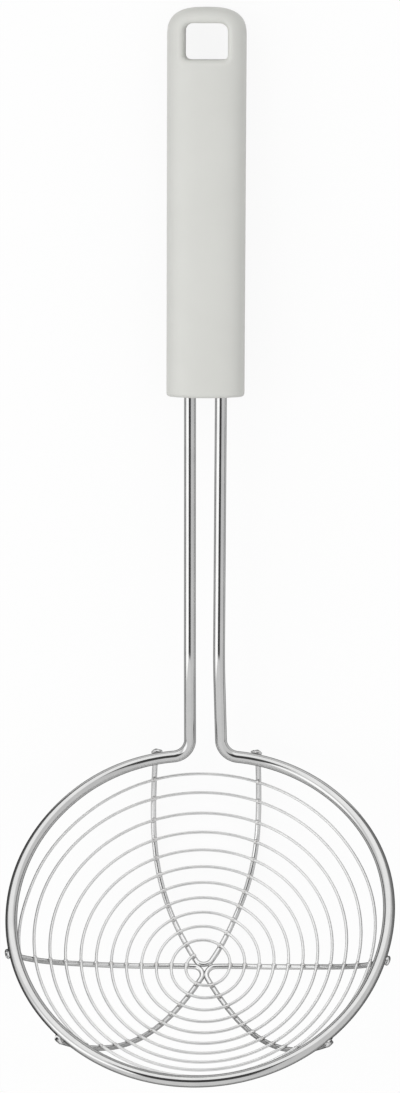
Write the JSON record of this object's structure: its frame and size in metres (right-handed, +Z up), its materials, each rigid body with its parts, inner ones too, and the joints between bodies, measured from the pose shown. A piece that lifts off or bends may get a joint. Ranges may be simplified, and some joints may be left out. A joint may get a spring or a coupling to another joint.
{
  "type": "wire strainer",
  "caption": "Long-handled wire strainer: a round bowl of spiral wire on bent ribs, hung under a wire ring whose twin shanks run into a moulded handle with a hanging hole.",
  "frame": {"origin": "on the table, under the middle of the strainer as it lies on its ribs and the end of its handle", "axes": "+Z up from the table, +Y along the length from the bowl to the handle, +X across, to the right seen from the bowl"},
  "size_m": [0.13, 0.356, 0.0842],
  "materials": {
    "frame_steel": "polished stainless steel wire",
    "rib_steel": "bright drawn stainless steel wire",
    "spiral_steel": "bright drawn stainless steel wire",
    "handle_plastic": "fine matte off-white moulded plastic"
  },
  "bodies": {
    "root": {"frame_wire": "frame_steel", "rib_wire_back": "rib_steel", "rib_wire_left": "rib_steel", "rib_wire_right": "rib_steel", "spiral_wire": "spiral_steel", "handle": "handle_plastic"}
  },
  "joints": []
}
